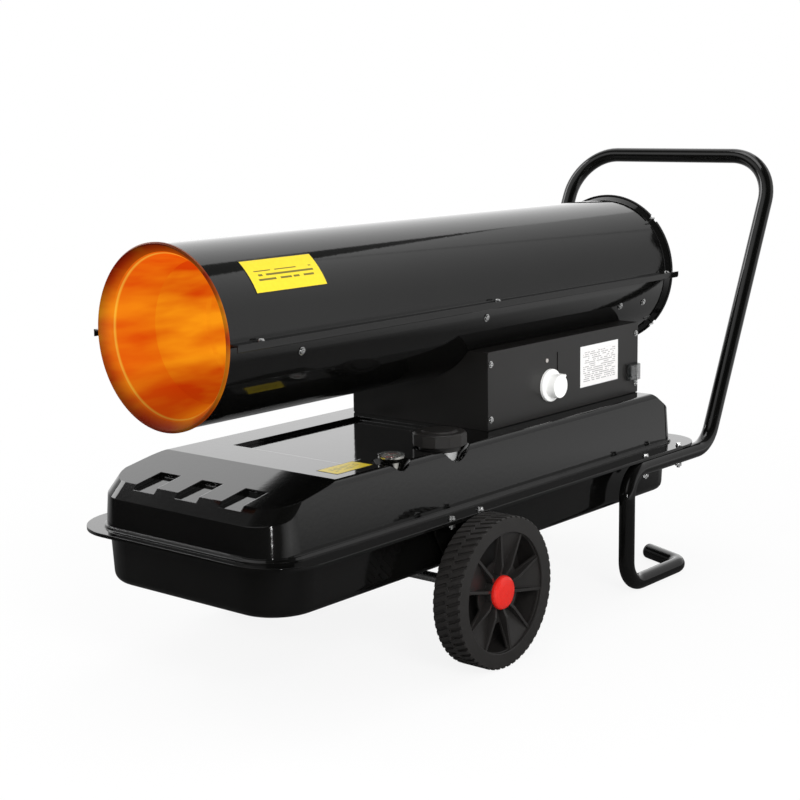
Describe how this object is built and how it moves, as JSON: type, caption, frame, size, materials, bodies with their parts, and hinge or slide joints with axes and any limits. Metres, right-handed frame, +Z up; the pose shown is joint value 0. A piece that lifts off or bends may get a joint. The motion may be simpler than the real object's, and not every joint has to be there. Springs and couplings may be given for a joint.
{
  "type": "forced air heater",
  "caption": "Wheeled forced air heater: horizontal barrel with outlet cone, fuel tank below it, side control box, moulded wheels and a bent tube carrying frame.",
  "frame": {"origin": "floor level, at the middle of the overall bounding box in plan", "axes": "+Z up; -X is the way the hot air leaves the mouth, +X the carrying handle; -Y the control panel side"},
  "size_m": [1.405, 0.569, 0.761],
  "materials": {
    "black_gloss_paint": "gloss black paint on pressed steel",
    "black_satin_paint": "satin black paint on sheet steel",
    "hot_steel": "heat-dulled steel",
    "zinc_steel": "bright zinc plating",
    "black_plastic": "moulded, fine grain",
    "gasket_rubber": "soft rubber",
    "red_plastic": "glossy moulded",
    "white_plastic": "semi-gloss moulded",
    "white_ceramic": "glazed ceramic",
    "lamp_red": "translucent lens",
    "clear_plastic": "clear moulded",
    "gauge_metal": "polished",
    "pointer_red": "matt",
    "shaft_steel": "turned",
    "cast_metal": "as cast",
    "brass_fitting": "machined",
    "copper_pipe": "drawn copper",
    "yellow_label": "printed film",
    "white_label": "printed film"
  },
  "bodies": {
    "heater": {"air_line": "copper_pipe", "air_pump": "cast_metal", "axle": "zinc_steel", "axle_brackets": "black_gloss_paint", "axle_washers": "zinc_steel", "barrel_label": "yellow_label", "barrel_lower_shell": "black_gloss_paint", "barrel_screws": "zinc_steel", "barrel_upper_shell": "black_gloss_paint", "bracket_bolts": "zinc_steel", "burner_head": "brass_fitting", "carrying_frame": "black_gloss_paint", "chamber_brackets": "hot_steel", "combustion_chamber": "hot_steel", "control_box": "black_satin_paint", "control_panel": "black_satin_paint", "cord_gland": "black_plastic", "cover_screws": "zinc_steel", "drain_plug": "zinc_steel", "electrodes": "white_ceramic", "fan_motor": "cast_metal", "filler_neck": "zinc_steel", "filler_strainer": "white_plastic", "flame_baffle": "hot_steel", "flange_nuts": "zinc_steel", "foot_plugs": "black_plastic", "frame_bolts": "zinc_steel", "fuel_line": "copper_pipe", "gauge_body": "gauge_metal", "gauge_lens": "clear_plastic", "guard_rim": "black_plastic", "ignition_leads": "black_plastic", "ignition_transformer": "black_plastic", "indicator_lamp": "lamp_red", "intake_guard": "zinc_steel", "motor_bracket": "zinc_steel", "outlet_cone": "black_gloss_paint", "push_nuts": "zinc_steel", "rating_label": "white_label", "service_cover": "black_satin_paint", "switch_body": "black_plastic", "switch_boot": "clear_plastic", "tank_label": "yellow_label", "tank_lower_pressing": "black_gloss_paint", "tank_upper_pressing": "black_gloss_paint", "thermostat": "black_plastic"},
    "near_wheel_set": {"near_wheel": "black_plastic", "near_hub_cap": "red_plastic"},
    "far_wheel_set": {"far_wheel": "black_plastic", "far_hub_cap": "red_plastic"},
    "fan_rotor": {"fan": "cast_metal", "motor_shaft": "zinc_steel"},
    "knob": {"thermostat_knob": "white_plastic", "thermostat_shaft": "shaft_steel"},
    "rocker": {"switch_rocker": "black_plastic"},
    "cap_seal": {"cap_gasket": "gasket_rubber"},
    "cap": {"fuel_cap": "black_plastic"},
    "float": {"float_arm": "zinc_steel", "gauge_float": "black_plastic"},
    "pointer": {"gauge_pointer": "pointer_red"}
  },
  "joints": [
    {"name": "near_wheel_turn", "type": "hinge", "parent": "heater", "child": "near_wheel_set", "pos_m": [-0.2685, -0.26, 0.119], "axis": [0, 1, 0], "continuous": true},
    {"name": "far_wheel_turn", "type": "hinge", "parent": "heater", "child": "far_wheel_set", "pos_m": [-0.2685, 0.26, 0.119], "axis": [0, 1, 0], "continuous": true},
    {"name": "fan_turn", "type": "hinge", "parent": "heater", "child": "fan_rotor", "pos_m": [0.3875, 0, 0.54], "axis": [1, 0, 0], "continuous": true},
    {"name": "thermostat_turn", "type": "hinge", "parent": "heater", "child": "knob", "pos_m": [0.0445, -0.16, 0.384], "axis": [0, -1, 0], "range_deg": [-96, 174]},
    {"name": "switch_rock", "type": "hinge", "parent": "heater", "child": "rocker", "pos_m": [0.3045, -0.1427, 0.372], "axis": [1, 0, 0], "range_deg": [0, 18]},
    {"name": "cap_lift", "type": "slide", "parent": "heater", "child": "cap_seal", "axis": [0, 0, 1], "range_m": [0, 0.09]},
    {"name": "cap_turn", "type": "hinge", "parent": "cap_seal", "child": "cap", "pos_m": [-0.2605, -0.15, 0.345], "axis": [0, 0, 1], "range_deg": [-90, 360]},
    {"name": "float_swing", "type": "hinge", "parent": "heater", "child": "float", "pos_m": [-0.3925, -0.163, 0.262], "axis": [0, 1, 0], "range_deg": [0, 65]},
    {"name": "pointer_turn", "type": "hinge", "parent": "heater", "child": "pointer", "pos_m": [-0.3925, -0.163, 0.337], "axis": [0, 0, 1], "range_deg": [-120, 0]}
  ],
  "couplings": [
    {"joint": "pointer_turn", "follows": "float_swing", "ratio": -1.6}
  ]
}
